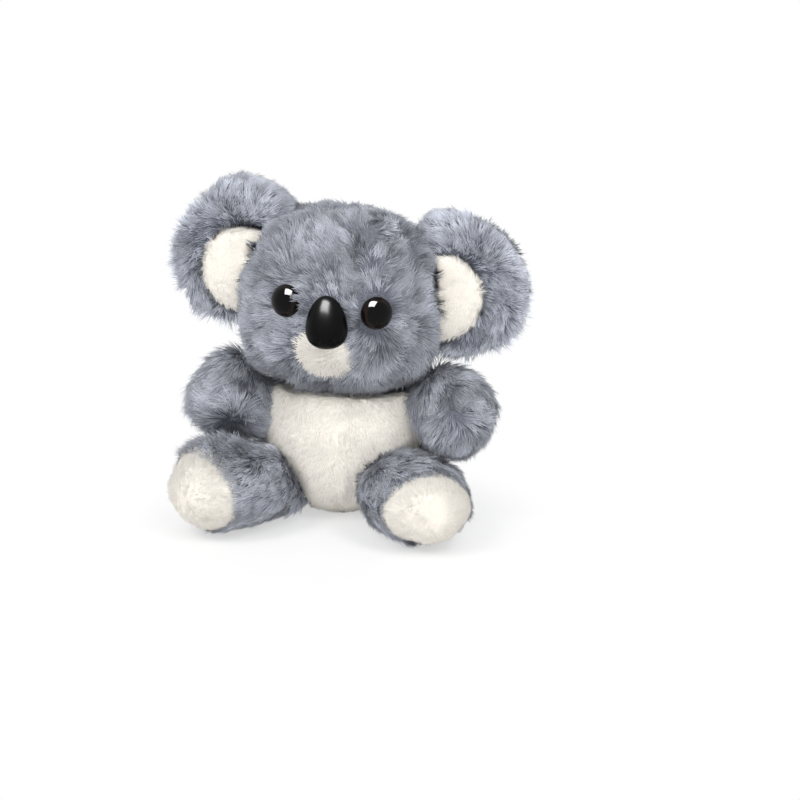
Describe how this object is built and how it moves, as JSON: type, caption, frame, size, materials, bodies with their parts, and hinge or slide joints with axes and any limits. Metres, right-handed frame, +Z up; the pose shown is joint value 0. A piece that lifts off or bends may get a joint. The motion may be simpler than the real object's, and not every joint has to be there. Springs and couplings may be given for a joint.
{
  "type": "plush koala",
  "caption": "Sitting stuffed koala in grey pile with a white belly, soles and ear linings; its head, ears, arms and legs move.",
  "frame": {"origin": "on the surface it sits on, under the middle of the seat", "axes": "+Z up, the belly looks along -Y, and +X is towards the toy's own left"},
  "size_m": [0.2381, 0.1599, 0.2212],
  "materials": {
    "grey_pile": "long laid pile",
    "white_pile": "long laid pile",
    "stuffing": "loose fibre",
    "linen": "plain weave",
    "eye_gloss": "polished",
    "nose_gloss": "polished",
    "washer_plastic": "moulded"
  },
  "bodies": {
    "torso": {"back_panel": "grey_pile", "belly_left": "white_pile", "belly_right": "white_pile", "torso_stuffing": "stuffing", "pellet_bag": "linen"},
    "neck": {"neck_stuffing": "stuffing"},
    "head": {"face_panel": "grey_pile", "head_back_panel": "grey_pile", "chin_patch": "white_pile", "head_stuffing": "stuffing", "eye_left": "eye_gloss", "eye_right": "eye_gloss", "eye_left_washer": "washer_plastic", "eye_right_washer": "washer_plastic", "nose": "nose_gloss", "nose_washer": "washer_plastic"},
    "ear_left": {"ear_left_cup": "grey_pile", "ear_left_lining": "white_pile"},
    "ear_right": {"ear_right_cup": "grey_pile", "ear_right_lining": "white_pile"},
    "arm_left": {"arm_left_cover": "grey_pile", "arm_left_stuffing": "stuffing"},
    "arm_right": {"arm_right_cover": "grey_pile", "arm_right_stuffing": "stuffing"},
    "leg_left": {"leg_left_cover": "grey_pile", "leg_left_sole": "white_pile", "leg_left_stuffing": "stuffing"},
    "leg_right": {"leg_right_cover": "grey_pile", "leg_right_sole": "white_pile", "leg_right_stuffing": "stuffing"}
  },
  "joints": [
    {"name": "head_turn", "type": "hinge", "parent": "torso", "child": "neck", "pos_m": [0, 0.002, 0.092], "axis": [0, 0, 1], "range_deg": [-30, 30], "stiffness_Nm_per_rad": 0.25},
    {"name": "head_nod", "type": "hinge", "parent": "neck", "child": "head", "pos_m": [0, 0.002, 0.092], "axis": [1, 0, 0], "range_deg": [-7, 7], "stiffness_Nm_per_rad": 0.8},
    {"name": "ear_left_fold", "type": "hinge", "parent": "head", "child": "ear_left", "pos_m": [0.05972, 0.00104, 0.15025], "axis": [-0.1822, -0.0032, 0.9833], "range_deg": [-15, 15], "stiffness_Nm_per_rad": 0.06},
    {"name": "ear_right_fold", "type": "hinge", "parent": "head", "child": "ear_right", "pos_m": [-0.05751, -0.001, 0.16361], "axis": [0.3987, 0.007, 0.9171], "range_deg": [-15, 15], "stiffness_Nm_per_rad": 0.06},
    {"name": "arm_left_swing", "type": "hinge", "parent": "torso", "child": "arm_left", "pos_m": [0.05, -0.004, 0.075], "axis": [-0.9397, 0.342, 0], "range_deg": [0, 35], "stiffness_Nm_per_rad": 0.08},
    {"name": "arm_right_swing", "type": "hinge", "parent": "torso", "child": "arm_right", "pos_m": [-0.05, -0.004, 0.075], "axis": [-0.9397, -0.342, 0], "range_deg": [0, 35], "stiffness_Nm_per_rad": 0.08},
    {"name": "leg_left_swing", "type": "hinge", "parent": "torso", "child": "leg_left", "pos_m": [0.032, -0.016, 0.0275], "axis": [0, 0, 1], "range_deg": [-15, 4], "stiffness_Nm_per_rad": 0.1},
    {"name": "leg_right_swing", "type": "hinge", "parent": "torso", "child": "leg_right", "pos_m": [-0.032, -0.016, 0.0275], "axis": [0, 0, -1], "range_deg": [-29, 0], "stiffness_Nm_per_rad": 0.1}
  ]
}
